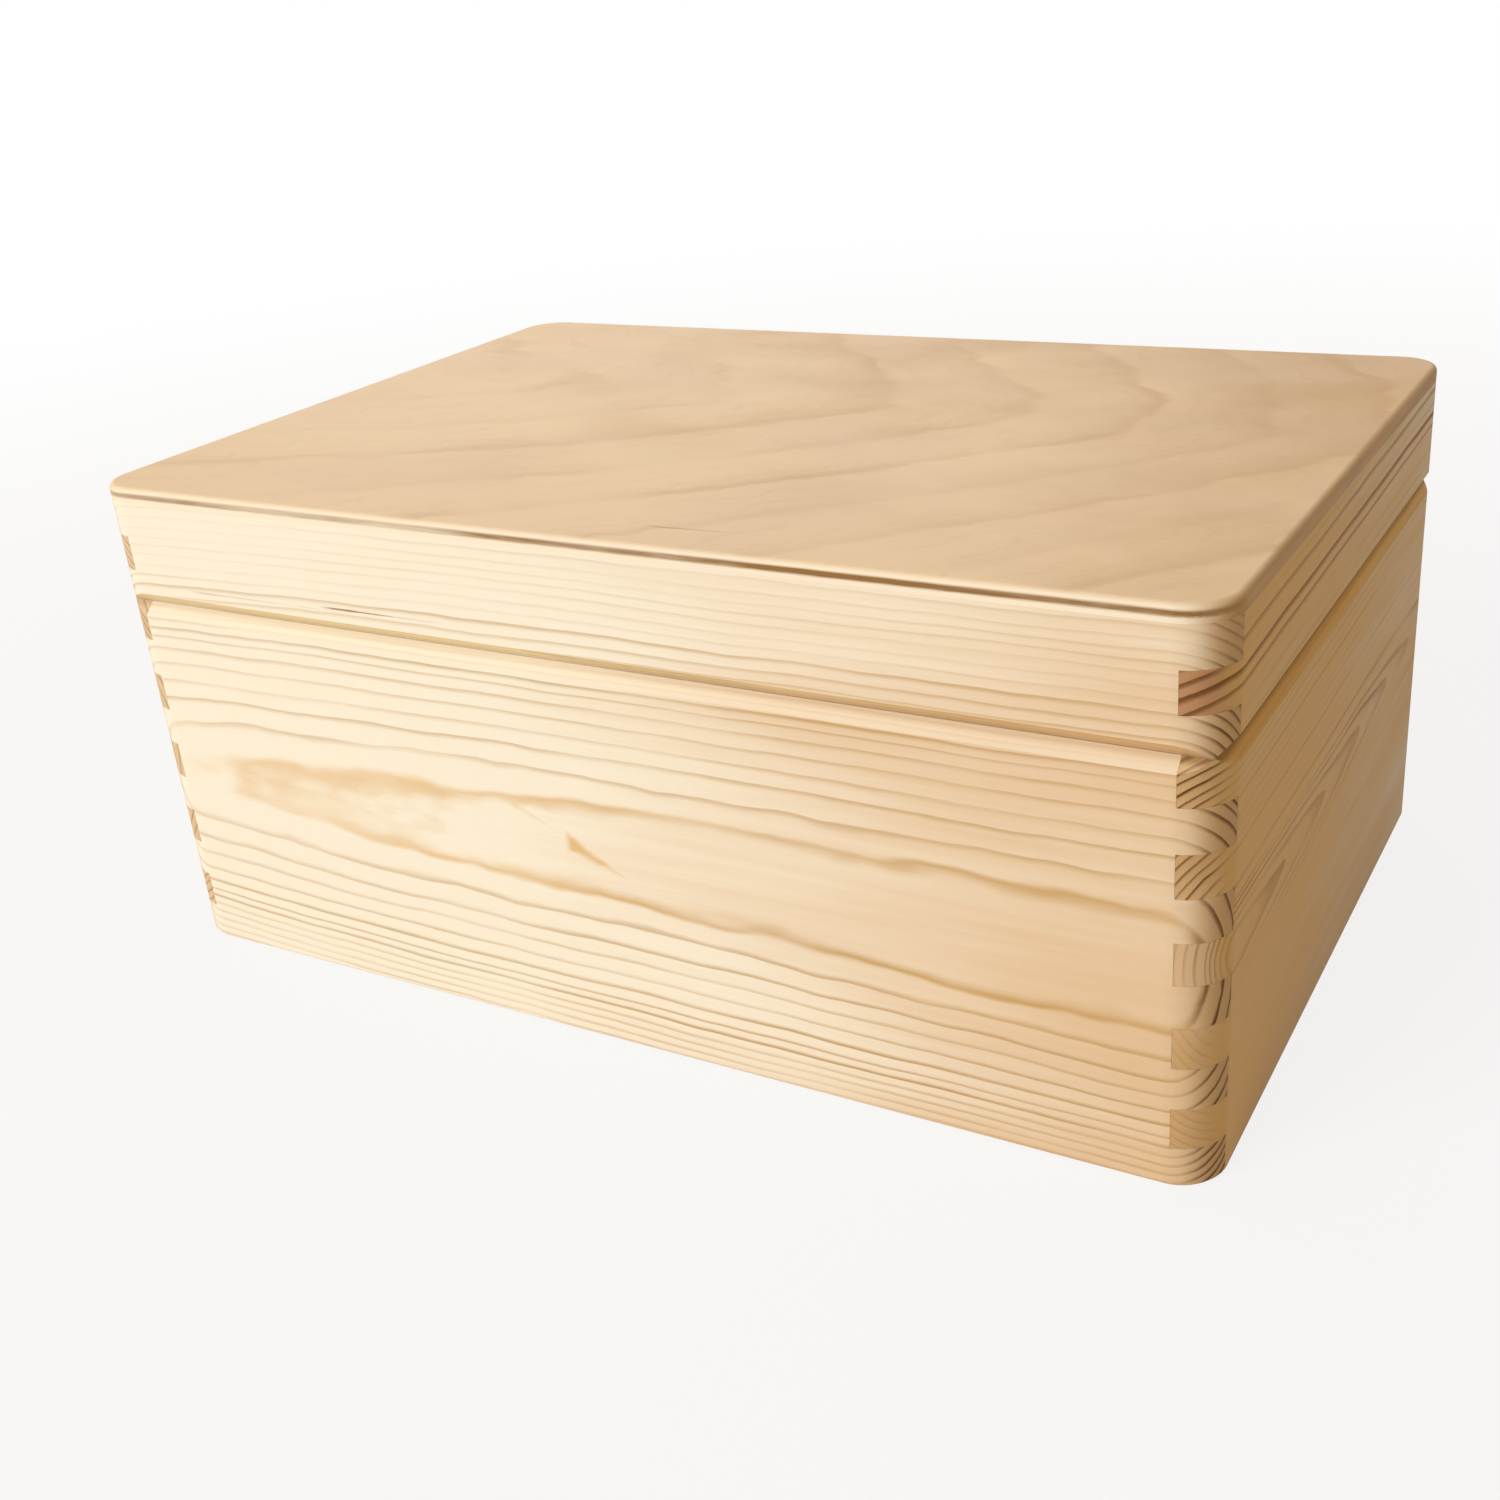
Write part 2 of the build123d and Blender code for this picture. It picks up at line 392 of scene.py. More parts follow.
GROWTH = {
    "front": Growth(
        turn=0, reach=HALF_DEPTH_MM, pith_out=30.7, pith_height=54.2, lid_pith_out=24,
        lean=-0.004, rise=0, swell=2.7,
        heart_width=7, first_ring=34, ring_width=3.1, outer_from=51, outer_width=1.95,
        line_width=0.7, lid_line_width=0.6, heart_line=1.7, first_breadth=1.1, wave=2.4,
        heart_boldness=0.88, boldness=0.76, lid_boldness=0.34, boldness_drift=0.12, foot_boldness=1.15,
        bands=((108.3, 3.5, 0.35), (16.5, 3.5, 0.25)),
        end_boldness=0.9, red_heart=0, pale_heart=0, evenness=0.5,
        # On the front, warmth_drift darkens the board towards its right end, partly as the wood's own drift
        # in tone and partly as painted shade of the key lamp's falloff.
        warmth=0.17, warmth_drift=0.5, lid_paleness=0.14, depth_of_tone=0.06, line_depth=0.06,
        flecks=(
            Fleck(-10, 55.6, 18, 3.4, -0.42, 0.8),
            Fleck(-26, 63.5, 18, 1.3, -0.42, 0.25),
        ),
        streaks=(Fleck(-75, 108.5, 42, 0.42, 0.005, 0.85), Fleck(-120, 107.6, 70, 0.4, 0.004, 0.3)),
        seed=1,
    ),
    # The right wall's deep tone and deep lines are partly painted shade, for the side that the key lamp
    # doesn't reach.
    "right": Growth(
        turn=-90, reach=HALF_WIDTH_MM, pith_out=22.7, pith_height=57.5, lid_pith_out=0,
        lean=0.022, rise=0.025, swell=0,
        heart_width=0.75, first_ring=24.6, ring_width=1.9, outer_from=54.2, outer_width=2.9,
        line_width=0.55, lid_line_width=1.15, heart_line=0.5, first_breadth=0, wave=1.2,
        heart_boldness=1.6, boldness=0.5, lid_boldness=0.2, boldness_drift=0, foot_boldness=0.2,
        bands=((117.5, 1.6, 0.9), (120.4, 1.6, 1.0), (126.2, 1.6, 0.9)),
        end_boldness=1.0, red_heart=0.8, pale_heart=0.6, evenness=0.2,
        warmth=0.82, warmth_drift=-0.3, lid_paleness=0, depth_of_tone=0.68, line_depth=0.95,
        flecks=(), streaks=(), seed=2,
    ),
    "back": Growth(
        turn=180, reach=HALF_DEPTH_MM, pith_out=39.5, pith_height=38, lid_pith_out=10,
        lean=0, rise=0, swell=2.2,
        heart_width=5, first_ring=41.5, ring_width=3.4, outer_from=58, outer_width=2.1,
        line_width=0.6, lid_line_width=0.5, heart_line=1.3, first_breadth=0.5, wave=3.0,
        heart_boldness=0.4, boldness=0.84, lid_boldness=0.62, boldness_drift=0.05, foot_boldness=1.0,
        bands=((112, 3.5, 0.3),),
        end_boldness=0.8, red_heart=0, pale_heart=0, evenness=0.4,
        warmth=0.5, warmth_drift=-0.15, lid_paleness=0.1, depth_of_tone=0.15, line_depth=0.15,
        flecks=(Fleck(60, 45, 13, 2.0, 0.3, 0.6),), streaks=(), seed=3,
    ),
    "left": Growth(
        turn=90, reach=HALF_WIDTH_MM, pith_out=27, pith_height=62, lid_pith_out=12,
        lean=-0.03, rise=-0.02, swell=0,
        heart_width=4, first_ring=27.5, ring_width=2.8, outer_from=44, outer_width=2.0,
        line_width=0.55, lid_line_width=0.5, heart_line=1.2, first_breadth=0.3, wave=2.6,
        heart_boldness=0.25, boldness=0.8, lid_boldness=0.74, boldness_drift=0, foot_boldness=0.8,
        bands=((120, 3.5, 0.2),),
        end_boldness=0.65, red_heart=0, pale_heart=0, evenness=0.4,
        warmth=0.45, warmth_drift=0.1, lid_paleness=0.1, depth_of_tone=0.1, line_depth=0.1,
        flecks=(), streaks=(), seed=4,
    ),
}
BARE_WOOD_GLOSS = 0.1  # sanded and unvarnished, so less than the usual half
PARTING_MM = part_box("lid_front_rail")[0][2] / MM  # height of the lid's lower edge
GROOVE_MM = 3.3  # reach of the V-groove up and down from the parting line, with a little over
SWELL_FADE_MM = 75  # the swell falls to about a third over this length
SWELL_START_MM = 135  # from the middle of the board to where the swell is as given
WIDTH_CHANGES = 0.22  # how often the rings change their width, in each millimetre of the trunk
UNEVEN_RINGS = 0.3  # how far they change it, as a share of a ring
RAGGED_MM = 0.22  # how far fine raggedness moves a line
HEART_KINK = 0.37  # how far the heart's lines kink, as a share of heart_width
LINE_EDGE_MM = 0.2  # over which a late-wood line ends
SHARP_HEART_LINE = 0.8  # heart_line at which the heart's lines end as sharply as the others
HAZE_MM = 1.8  # reach of the faint shade next to a line
FLAT_CUT_MM = -25, -75  # along the board, where the first line gets broader above the pith
TIP_MM = -92, -116  # along the board, where it gets broader on both sides
FOOT_MM = 6, -14  # above the pith, where foot_boldness sets in
RAIL_TOP_MM = 119, 124  # height at which the lines on the rails' ends get fainter


def fleck_mask(finish, along, height, ragged, fleck):
    """Where a fleck shows: blunt at its left end, and drawn out to a ragged point."""
    run = along - fleck.along
    rise = abs(height - fleck.height - run * fleck.tilt)
    share = run / fleck.length
    reach = rise / fleck.half_width + share + ragged
    return finish.ramp(reach, 1.05, 0.25) * finish.ramp(share, -0.06, 0.08) * fleck.strength


def blend(share, first, second):
    """A constant colour between two others."""
    return [low + (high - low) * share for low, high in zip(first, second)]


def bare_wood(finish, colour, roughness, relief, relief_mm):
    """Ends the tree of a sanded, unvarnished wood whose relief is as deep as given."""
    sockets = {"Strength": 0.3, "Distance": relief_mm * MM, "Height": relief}
    bump = finish.node("ShaderNodeBump", None, sockets)
    sockets = {
        "Base Color": colour,
        "Roughness": roughness,
        "Specular IOR Level": BARE_WOOD_GLOSS,
        "Normal": bump,
    }
    return finish.surface(finish.node("ShaderNodeBsdfPrincipled", None, sockets))


class PineBoards:
    """The pine of one wall's body board and lid rail, worked out step by step in one node tree."""

    def __init__(self, name, growth):
        self.pine = bpy.context.scene.box_pine
        self.growth = growth
        self.finish = Finish(bpy.data.materials.new(name))
        self.place = self.finish.place(growth.turn, (0, growth.reach, 0))
        self.along, self.depth, self.height = self.finish.parts_of(self.place)
        # A sharp step at the saw line, and one that is soft across the groove
        self.on_rail = self.finish.ramp(self.height, PARTING_MM - 0.15, PARTING_MM - 0.05)
        self.in_lid = self.finish.ramp(self.height, PARTING_MM - 3, PARTING_MM + 3)
        self.count_rings()
        self.shape_lines()
        self.weigh_lines()
        self.tone_wood()

    def noise(self, grain, seed, **settings):
        """Soft noise that this wall has to itself."""
        return self.finish.noise(self.place, grain, self.growth.seed + seed, **settings)

    def count_rings(self):
        """Distance from the pith, counted in rings that have widths of their own at the heart and far out."""
        growth = self.growth
        wander = self.noise((90, 28, 28), 0, detail=3)
        self.ragged = self.noise((9, 2.2, 2.2), 50, detail=3, roughness=0.6)
        out = self.depth + self.along * growth.lean + growth.pith_out + self.on_rail * growth.lid_pith_out
        if growth.swell:
            swelling = calculate("EXPONENT", (self.along + SWELL_START_MM) * (-1 / SWELL_FADE_MM))
            out = out + swelling * growth.swell
        self.up = self.height - self.along * growth.rise - growth.pith_height
        distance = (out * out + self.up * self.up) ** 0.5
        kink = self.noise((30, 14, 14), 80) * self.finish.ramp(
            distance, growth.first_ring + 10, growth.first_ring + 1, 1.0, growth.heart_width * HEART_KINK
        )
        self.radius = distance + wander * growth.wave + kink + self.ragged * RAGGED_MM
        self.past = self.radius - growth.first_ring
        outer = calculate("MAXIMUM", self.radius - growth.outer_from, 0)
        heart = calculate("MINIMUM", self.past, 0)
        uneven = self.finish.node(
            "ShaderNodeTexNoise",
            {"noise_dimensions": "1D"},
            {"W": self.radius * WIDTH_CHANGES + growth.seed * 7.7, "Scale": 1.0, "Detail": 0.0},
        )
        rings = (
            self.past / growth.ring_width
            + outer * (1 / growth.outer_width - 1 / growth.ring_width)
            + heart * (1 / growth.heart_width - 1 / growth.ring_width)
            + (uneven - 0.5) * self.finish.ramp(self.past, 0, 6) * UNEVEN_RINGS
        )
        self.within = calculate("FRACT", rings)
        self.chance = self.finish.chance(rings - self.within + growth.seed * 31)

    def shape_lines(self):
        """Late wood, which gathers slowly and ends at a sharp edge."""
        finish, growth = self.finish, self.growth
        is_outer = finish.ramp(self.radius, growth.outer_from - 2, growth.outer_from + 2)
        self.is_heart = finish.ramp(self.past, 0, -0.2)
        ring_width = is_outer * (growth.outer_width - growth.ring_width) + growth.ring_width
        ring_width = ring_width + self.is_heart * (growth.heart_width - growth.ring_width)
        before = (1 - self.within) * ring_width

        # The first line is broad at the left, and at its tip on both sides
        line_width = self.in_lid * (growth.lid_line_width - growth.line_width) + growth.line_width
        cut_flat = finish.ramp(self.along, *FLAT_CUT_MM) * finish.ramp(self.up, -6, 3, 0.55, 1.0)
        cut_flat = calculate("MAXIMUM", cut_flat, finish.ramp(self.along, *TIP_MM))
        broader = cut_flat * growth.first_breadth + (growth.heart_line - 1)
        line_width = line_width * (self.is_heart * broader + 1)

        # Where a line is cut flat its inner edge is blotched
        flatness = finish.ramp(abs(self.up) / self.radius, 0.5, 0.1)
        blotch = self.noise((17, 6, 6), 70, detail=3) * flatness
        nearness = before / line_width + blotch * (growth.first_breadth * 1.45 + 0.6)
        heart_edge = (growth.heart_line - SHARP_HEART_LINE) * 0.57
        edge = finish.ramp(before, 0, self.is_heart * heart_edge + LINE_EDGE_MM)
        heart_haze = min(growth.heart_width, HAZE_MM)
        haze_reach = self.is_heart * (heart_haze - HAZE_MM) + HAZE_MM
        self.line = finish.ramp(nearness, 1.5, 0.3) * edge * (1 - flatness * 0.25)
        self.end_line = finish.ramp(nearness, 1.5, 0.5) * edge
        self.haze = finish.ramp(before, haze_reach, 0) * edge

    def weigh_lines(self):
        """How strongly each line shows."""
        finish, growth = self.finish, self.growth
        boldness = self.in_lid * (growth.lid_boldness - growth.boldness) + growth.boldness
        boldness = boldness + self.along * (growth.boldness_drift / 100)
        band = 0
        for middle, reach, added in growth.bands:
            away = abs(self.up + (growth.pith_height - middle))
            band = finish.ramp(away, reach * 1.4, reach * 0.6) * added + band
        self.calm = finish.ramp(self.up, *FOOT_MM, 1.0, growth.foot_boldness)
        weight = (self.chance * self.chance * (1 - growth.evenness) + growth.evenness) * self.calm
        self.weight = weight + (self.calm - weight) * self.is_heart * growth.heart_boldness
        fading = finish.ramp(self.noise((60, 9, 9), 90), -0.2, 0.12, growth.evenness, 1.0)
        self.strength = self.weight * boldness * fading + (self.chance * 0.6 + 0.4) * band

    def tone_wood(self):
        """Fibres, and patches of tone between the lines."""
        finish, growth, pine = self.finish, self.growth, self.pine
        self.fibre = self.noise((22, 0.3, 0.3), 10, detail=3, roughness=0.6)
        streak = self.noise((70, 2.4, 2.4), 20)
        patch = self.noise((140, 30, 30), 30)
        warm = patch * 0.9 + self.along * (growth.warmth_drift / 100) + growth.warmth + streak * 0.35
        warm = warm - self.in_lid * growth.lid_paleness
        wood = finish.mix(finish.ramp(warm, 0, 1), pine.early_wood[:], pine.warm_wood[:])
        deep = finish.ramp(warm, 0.2, 1.2) * growth.depth_of_tone
        self.wood = finish.mix(deep, wood, pine.deep_wood[:])

    def face(self):
        """Colour of the boards' faces, with flecks and streaks close to the surface."""
        finish, growth, pine = self.finish, self.growth, self.pine
        marks = (self.line + self.haze * 0.18) * self.strength + self.fibre * 0.2
        late = blend(growth.line_depth, pine.late_wood, pine.deep_late_wood)
        resinous = self.is_heart * finish.ramp(self.along, 60, -60, 0.25, 1.0)
        late = finish.mix(resinous * (1 - growth.line_depth), late, pine.resin[:])
        face = finish.mix(marks, self.wood, late)
        near_face = finish.ramp(self.depth, 4, 2)
        for flecks, tone in ((growth.flecks, pine.resin), (growth.streaks, pine.deep_late_wood)):
            for fleck in flecks:
                shown = fleck_mask(finish, self.along, self.height, self.ragged, fleck) * near_face
                face = finish.mix(shown, face, tone[:])
        return face

    def ends(self):
        """Colour of the boards' ends: browner wood and darker lines, faint at the top of the rails."""
        finish, growth, pine = self.finish, self.growth, self.pine
        pores = self.noise((0.5, 0.5, 0.5), 40)
        strength = self.weight * 0.5 + self.calm * 0.5
        strength = strength * finish.ramp(self.height, *RAIL_TOP_MM, 1.0, 0.45)
        at_pith = finish.ramp(abs(self.up), 22, 6) * growth.pale_heart
        marks = (self.end_line + self.haze * 0.2) * strength * (1 - at_pith) * growth.end_boldness
        wood = finish.mix(growth.end_boldness, self.wood, pine.end_grain[:])
        wood = finish.mix(at_pith, wood, pine.warm_wood[:])
        wood = finish.mix(self.on_rail * growth.red_heart, wood, pine.red_heart[:])
        return finish.mix(marks + pores * 0.25, wood, pine.end_lines[:])

    def with_groove(self, colour, end):
        """The V-groove, with painted light and shade: the lid's half faces down and is tinted a deeper ochre
        as painted shade, the body's half faces up and is painted paler as painted light, and a dark painted
        shadow line runs along its bottom.
        """
        finish, growth, pine = self.finish, self.growth, self.pine
        upright = finish.facing("Z")
        sloping = finish.ramp(upright, 0.35, 0.6) * finish.ramp(upright, 0.95, 0.8)
        from_parting = abs(self.height - PARTING_MM)
        groove = sloping * finish.ramp(from_parting, 4, GROOVE_MM)
        lower_edge = 1 - 0.6 * growth.line_depth
        near_saw = finish.ramp(self.height, PARTING_MM - 3.6, PARTING_MM - 1.2, lower_edge, 1.0)
        # Share of the painted-shade tint: most of it on the lid's half, which faces down, much of it on the
        # body's half of walls with deep lines, and a little everywhere in the groove.
        ochre = self.in_lid * 0.85 + (1 - end) * near_saw * (growth.line_depth * 0.9) + 0.06
        colour = finish.mix(groove * ochre, colour, pine.shaded[:], "MULTIPLY")
        # Painted light: the body's half of the groove, which faces up, is painted paler than the board's
        # face.
        lit_body_half = groove * (1 - self.in_lid) * (1 - end * 0.8) * near_saw
        lit_heart_colour = blend(growth.line_depth, pine.early_wood, pine.lit_heart)
        cut = finish.mix(end, lit_heart_colour, pine.early_wood[:])
        colour = finish.mix(lit_body_half * (0.56 + 0.1 * growth.line_depth), colour, cut)
        # Painted shadow: a dark line along the bottom of the groove, where the lid's edge shades it.
        shadow_line = groove * finish.ramp(from_parting, 2.1, 0.5) * (0.2 + 0.4 * growth.line_depth)
        return finish.mix(shadow_line, colour, pine.end_lines[:])

    def material(self):
        """The finished material."""
        board_axis = "X" if self.growth.turn % 180 == 0 else "Y"
        end = self.finish.ramp(self.finish.facing(board_axis), 0.3, 0.85)
        colour = self.with_groove(self.finish.mix(end, self.face(), self.ends()), end)
        roughness = self.fibre * 0.2 + self.pine.roughness
        return bare_wood(self.finish, colour, roughness, self.fibre * 1.4 - self.line * 0.4, 0.05)


def pine_finish(wall):
    """Bare sanded pine, made once for the board and the rail of a wall."""
    name = f"pine_{wall}"
    if name in bpy.data.materials:
        return bpy.data.materials[name]
    return PineBoards(name, GROWTH[wall]).material()


# Plywood

VENEER_FLECKS = (Fleck(16, -88.3, 32, 0.8, 0.05, 0.75),)
VENEER_BAND_MM = 46  # from one growth line of the veneer to the next
VENEER_WANDER_MM = 24
VENEER_RIPPLE_MM = 16


def veneer_face(finish, place, fibre, seed, flecks):
    """Colour of peeled veneer: nested arches, closer together to the right and longer at the front."""
    plywood = bpy.context.scene.box_plywood
    along, across, _ = finish.parts_of(place)
    wander = finish.noise(place, (80, 45, 45), seed, detail=1)
    ripple = finish.noise(place, (20, 11, 11), seed + 5, detail=3)
    side = across - 20 + wander * VENEER_WANDER_MM
    arch = (side * side + 150) ** 0.5 * 1.15 - side * 0.25
    moved = wander * VENEER_WANDER_MM + ripple * VENEER_RIPPLE_MM
    bands = (along * along * 0.002 + along + arch + moved + 5) / VENEER_BAND_MM
    within = calculate("FRACT", bands)
    chance = finish.chance(bands - within + seed * 13)
    over = finish.ramp(within, 1.0, 0.87)
    shade = finish.ramp(within, 0.25, 0.92) * over
    line = finish.ramp(within, 0.68, 0.9) * over
    third = calculate("FRACT", bands * 3 + ripple * 1.5)
    hair = finish.ramp(third, 0.7, 0.9) * finish.ramp(third, 1.0, 0.92)
    fading = finish.ramp(finish.noise(place, (45, 30, 30), seed + 15), -0.2, 0.2)

    patch = finish.noise(place, (60, 45, 45), seed + 30, detail=3)
    flat = finish.ramp(finish.facing("Z"), 0.5, 0.9)
    drift = along * 0.0014 + across * 0.002
    deep = shade * flat * (chance * 0.13 + 0.04) + patch * 1.1 + 0.25 + fibre * 0.35 + drift
    veneer = finish.mix(finish.ramp(deep, 0, 1), plywood.veneer[:], plywood.veneer_deep[:])
    blush = finish.ramp(finish.noise(place, (70, 50, 50), seed + 45), -0.1, 0.25)
    veneer = finish.mix(blush * 0.5, veneer, plywood.veneer_blush[:])
    lined = (line * (chance * 0.24 + 0.08) + hair * 0.11) * fading
    for fleck in flecks:
        lined = calculate("MAXIMUM", lined, fleck_mask(finish, along, across, fibre, fleck))
    return finish.mix(lined * flat, veneer, plywood.veneer_line[:])


def plywood_finish(name, low, thickness, seed, flecks=()):
    """Sanded birch plywood of three plies, from the height of its underside, in millimetres."""
    plywood = bpy.context.scene.box_plywood
    finish = Finish(bpy.data.materials.new(name))
    place = finish.place()
    along, _, height = finish.parts_of(place)
    fibre = finish.noise(place, (7, 0.35, 0.35), seed + 10, detail=3, roughness=0.6)
    wood = veneer_face(finish, place, fibre, seed, flecks)

    # Plies at the edge: the core runs across, so its ends show at the front and back
    level = (height - low) / thickness + fibre * 0.08
    core = finish.ramp(level, 0.22, 0.42) * finish.ramp(level, 0.76, 0.56)
    to_end = finish.facing("X")
    to_side = finish.facing("Y")
    # The front and back edges are painted pale, partly as the face plies' own long grain and partly as a
    # painted highlight on the round-over.
    wood = finish.mix(to_side * to_side * 0.95, wood, plywood.ply_side[:])
    wood = finish.mix(to_end * to_end * 0.9, wood, plywood.ply_back[:])
    ends = to_end * to_end * 0.5 + to_side * to_side * core
    uneven = finish.noise(place, (45, 45, 3), seed + 60, detail=3)
    shown = ends * (uneven * 1.8 + 0.88 + along * 0.0014 + fibre * 0.4)
    colour = finish.mix(shown, wood, plywood.ply_end[:])
    return bare_wood(finish, colour, fibre * 0.2 + plywood.roughness, fibre, 0.04)


# Brass


def brass_finish(name, colour, roughness):
    """Satin brass plating with fine drawn lines along the barrel."""
    finish = Finish(bpy.data.materials.new(name))
    place = finish.place()
    drawn = finish.noise(place, (6, 0.06, 0.06), 3, detail=3)
    cloud = finish.noise(place, (3, 3, 3), 8)
    dull = [0.72 * part for part in colour[:3]] + [1]
    tone = finish.mix(cloud * 0.8 + 0.4, colour[:], dull)
    sockets = {"Strength": 0.2, "Distance": 0.01 * MM, "Height": drawn}
    bump = finish.node("ShaderNodeBump", None, sockets)
    sockets = {
        "Base Color": tone,
        "Metallic": 1.0,
        "Roughness": drawn * 0.25 + cloud * 0.15 + roughness,
        "Normal": bump,
    }
    return finish.surface(finish.node("ShaderNodeBsdfPrincipled", None, sockets))


# Screws

SCREW_SIDES = 32
THREAD_STEPS = 14  # in a turn
SLOT_TURNS = (20, 75, 140, 105)  # how far each screw's slot is turned, in degrees
POINT_COUNT = 1000  # more than a screw has
HEAD_TOLERANCE = 1e-9  # how far from the head's plane the middle of a face may be, in metres


def at_head(face):
    """Whether a face lies in the plane of the screw's head."""
    return abs(face.calc_center_median().z) < HEAD_TOLERANCE


def cut_slot(shape, width, depth):
    """Lets a slot into the strip of the head's face between two cuts."""
    for side in (-1, 1):
        head = [face for face in shape.faces if at_head(face)]
        # Kept in order, so that the points are the same each run
        bounds = dict.fromkeys(part for face in head for part in (*face.edges, *face.verts))
        bmesh.ops.bisect_plane(
            shape, geom=head + list(bounds), plane_co=(0, side * width / 2, 0), plane_no=(0, 1, 0)
        )
    strip = min(
        (face for face in shape.faces if at_head(face)),
        key=lambda face: abs(face.calc_center_median().y),
    )
    floor = bmesh.ops.extrude_discrete_faces(shape, faces=[strip])["faces"][0]
    bmesh.ops.translate(shape, verts=floor.verts, vec=(0, 0, -depth))


def wind_thread(shape, pitch, core, shank, top, turns):
    """Winds a triangle down the core, from the height given."""
    section = ((core * 0.9, top + 0.3 * pitch), (shank, top), (core * 0.9, top - 0.3 * pitch))
    corners = [shape.verts.new((across, 0, down)) for across, down in section]
    lines = [shape.edges.new((corners[i], corners[i - 1])) for i in range(3)]
    bmesh.ops.contextual_create(shape, geom=lines)
    wound = bmesh.ops.spin(
        shape,
        geom=corners + lines,
        cent=(0, 0, 0),
        axis=(0, 0, 1),
        dvec=(0, 0, -pitch / THREAD_STEPS),
        angle=math.tau * turns,
        steps=THREAD_STEPS * turns,
    )
    last = [part for part in wound["geom_last"] if isinstance(part, bmesh.types.BMEdge)]
    bmesh.ops.contextual_create(shape, geom=last)


def face_order(face):
    """A number from the points of a face, because spinning leaves the faces in no fixed order."""
    points = sorted(corner.index for corner in face.verts)
    return sum(point / POINT_COUNT**place for place, point in enumerate(points))


def slotted_screw(hinges, head_radius, length):
    """A countersunk screw with a slot and a thread, its head's face at the origin and its point down."""
    shank = head_radius * 0.52
    core = shank - hinges.thread_depth
    head_depth = head_radius - shank
    core_top = -2.2 * head_depth
    tip = length * 0.15
    profile = (
        (head_radius, 0),
        (head_radius, -0.06 * head_radius),
        (shank, -head_depth),
        (shank, -1.8 * head_depth),
        (core, core_top),
        (core, tip - length),
        (0, -length),
    )
    shape = bmesh.new()
    corners = [shape.verts.new((across, 0, down)) for across, down in profile]
    lines = [shape.edges.new(pair) for pair in zip(corners, corners[1:])]
    bmesh.ops.spin(
        shape,
        geom=corners + lines,
        cent=(0, 0, 0),
        axis=(0, 0, 1),
        angle=math.tau,
        steps=SCREW_SIDES,
        use_merge=True,
    )
    bmesh.ops.remove_doubles(shape, verts=shape.verts, dist=0.001 * MM)
    rim = [edge for edge in shape.edges if edge.is_boundary]
    bmesh.ops.contextual_create(shape, geom=rim)
    cut_slot(shape, hinges.slot_width, hinges.slot_depth)
    pitch = hinges.thread_pitch
    turns = int((length - tip + core_top) / pitch) - 1
    wind_thread(shape, pitch, core, shank, core_top - pitch, turns)
    bmesh.ops.recalc_face_normals(shape, faces=shape.faces)
    shape.verts.index_update()
    shape.faces.sort(key=face_order)
    mesh = bpy.data.meshes.new("slotted_screw")
    shape.to_mesh(mesh)
    shape.free()
    return mesh


# Dressing and light


def dress(node, material):
    """Gives a CAD node one material."""
    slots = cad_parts[node].data.materials
    slots.clear()
    slots.append(material)


def seen_rays(finish):
    """1 where the camera sees a surface, straight on or reflected, and 0 where it only lights others."""
    rays = finish.node("ShaderNodeLightPath", output="Is Camera Ray")
    for kind in ("Is Glossy Ray", "Is Transmission Ray"):
        rays = calculate("MAXIMUM", rays, finish.node("ShaderNodeLightPath", output=kind))
    return rays


# Operators


class DressBodyBoards(bpy.types.Operator):
    """Finish the four boards of the body in pine"""

    bl_idname = "pine_box.body_boards"
    bl_label = "Body Boards"

    def execute(self, context):
        for wall in GROWTH:
            dress(f"body_{wall}_board", pine_finish(wall))
        return {"FINISHED"}


class DressLidRails(bpy.types.Operator):
    """Finish the four rails of the lid in the pine that the body's boards were sawn from"""

    bl_idname = "pine_box.lid_rails"
    bl_label = "Lid Rails"

    def execute(self, context):
        for wall in GROWTH:
            dress(f"lid_{wall}_rail", pine_finish(wall))
        return {"FINISHED"}


class DressPanels(bpy.types.Operator):
    """Finish the lid's top and the bottom in birch plywood"""

    bl_idname = "pine_box.panels"
    bl_label = "Plywood Panels"

    def execute(self, context):
        for seed, node in enumerate(("lid_top_panel", "bottom_panel"), 1):
            low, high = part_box(node)
            thickness = (high[2] - low[2]) / MM
            flecks = VENEER_FLECKS if node == "lid_top_panel" else ()
            dress(node, plywood_finish(f"birch_{node}", low[2] / MM, thickness, seed, flecks))
        return {"FINISHED"}


class DressHinges(bpy.types.Operator):
    """Plate the hinge leaves and pins"""

    bl_idname = "pine_box.hinges"
    bl_label = "Hinges"

    def execute(self, context):
        hinges = context.scene.box_hinges
        brass = brass_finish("hinge_brass", hinges.brass, hinges.roughness)
        for side in ("left", "right"):
            for part in ("body_leaf", "lid_leaf", "pin"):
                dress(f"{side}_hinge_{part}", brass)
        return {"FINISHED"}


